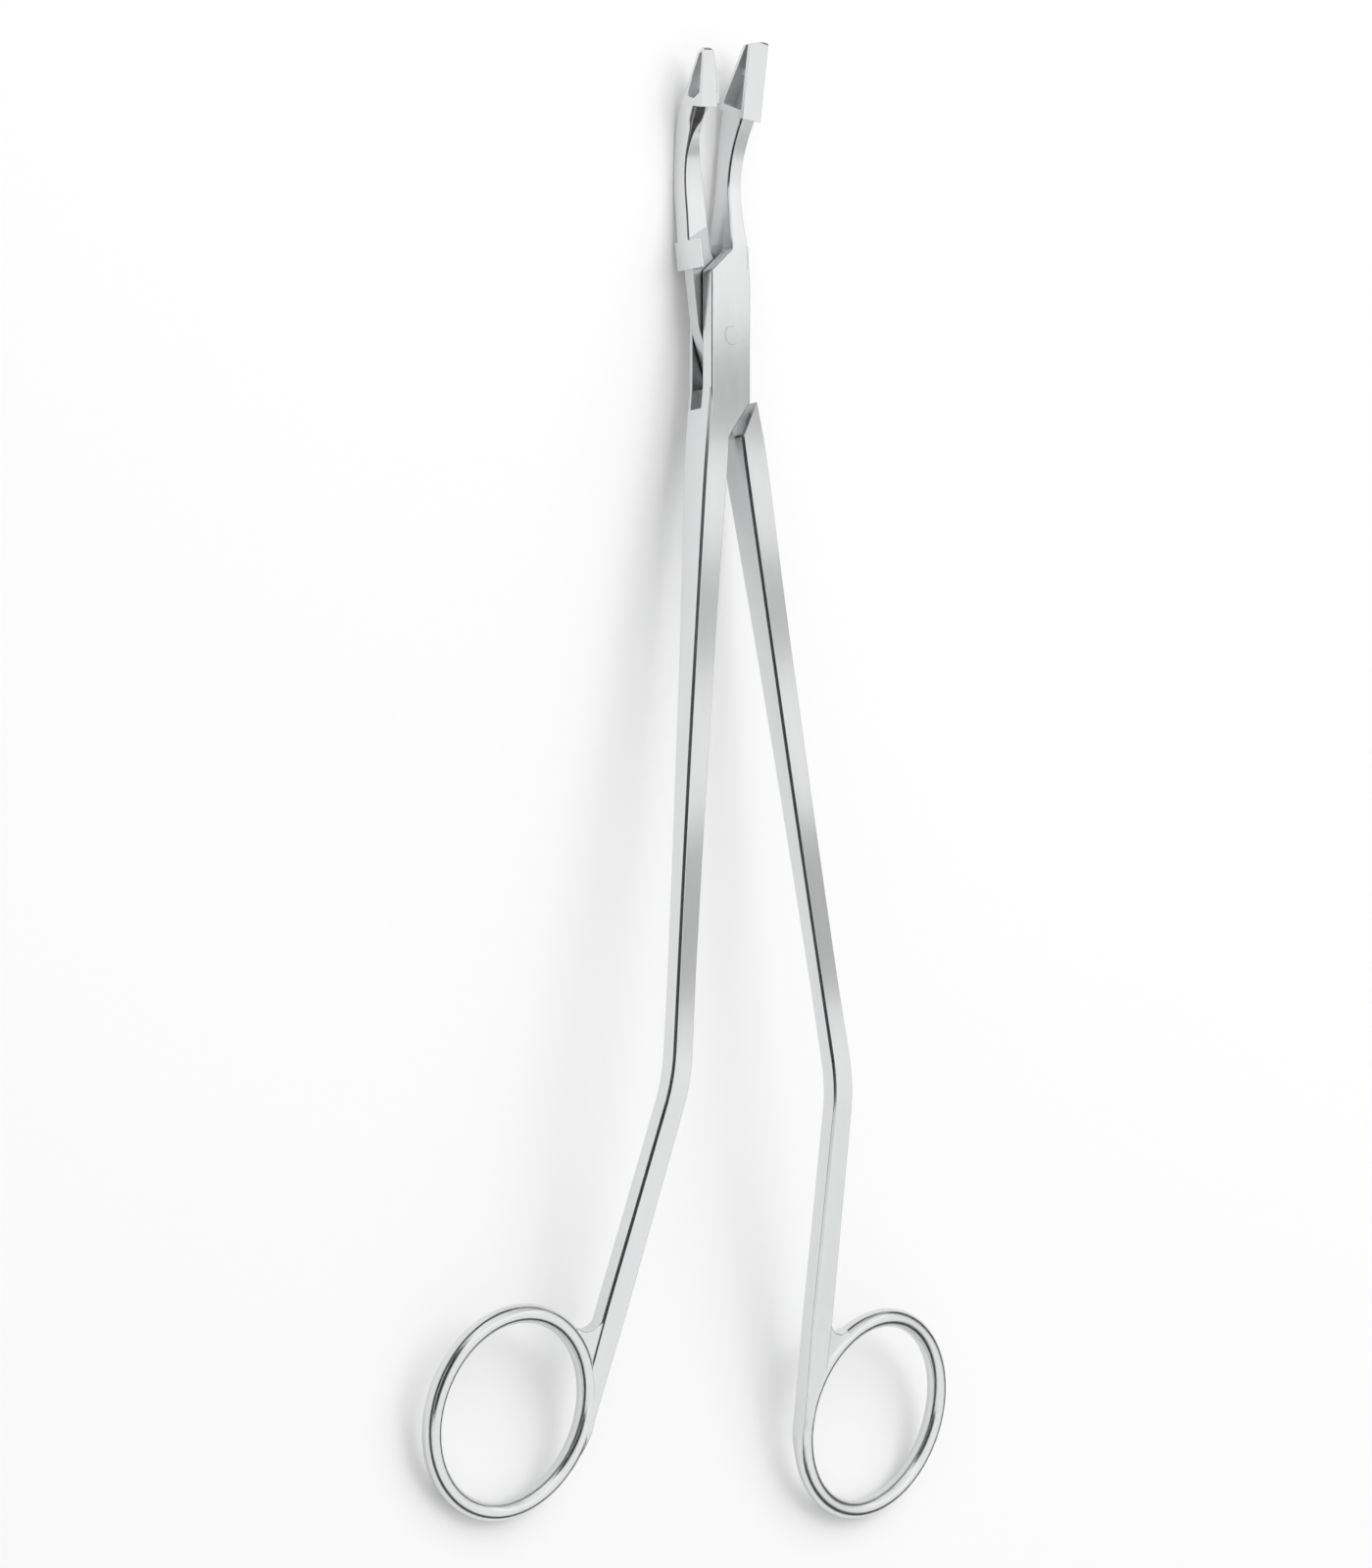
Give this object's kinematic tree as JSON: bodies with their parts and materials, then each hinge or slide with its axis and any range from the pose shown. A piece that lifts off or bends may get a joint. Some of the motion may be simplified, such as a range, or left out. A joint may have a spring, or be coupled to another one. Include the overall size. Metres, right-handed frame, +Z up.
{
  "type": "cervical biopsy punch",
  "caption": "Ring-handled cervical biopsy forceps with a box lock, bent handles, a fenestrated punch jaw and an open basket jaw, in satin stainless steel.",
  "frame": {"origin": "middle of the bounding box in plan, on the surface the instrument lies on", "axes": "+Y from the finger rings to the jaws, +X from the basket arm's ring to the punch arm's ring, +Z up, out of the lock's front face"},
  "size_m": [0.1192, 0.243, 0.0192],
  "materials": {
    "arm_satin": "satin brushed",
    "arm_bright": "satin brushed",
    "pin": "ground flush"
  },
  "bodies": {
    "basket_arm": {"basket_arm": "arm_satin", "pivot_pin": "pin"},
    "punch_arm": {"punch_arm": "arm_bright"}
  },
  "joints": [
    {"name": "box_lock", "type": "hinge", "parent": "basket_arm", "child": "punch_arm", "pos_m": [-0.01303, 0.07231, 0.00519], "axis": [-0.0079, 0.1055, 0.9944], "range_deg": [-8.6, 15.4]}
  ]
}
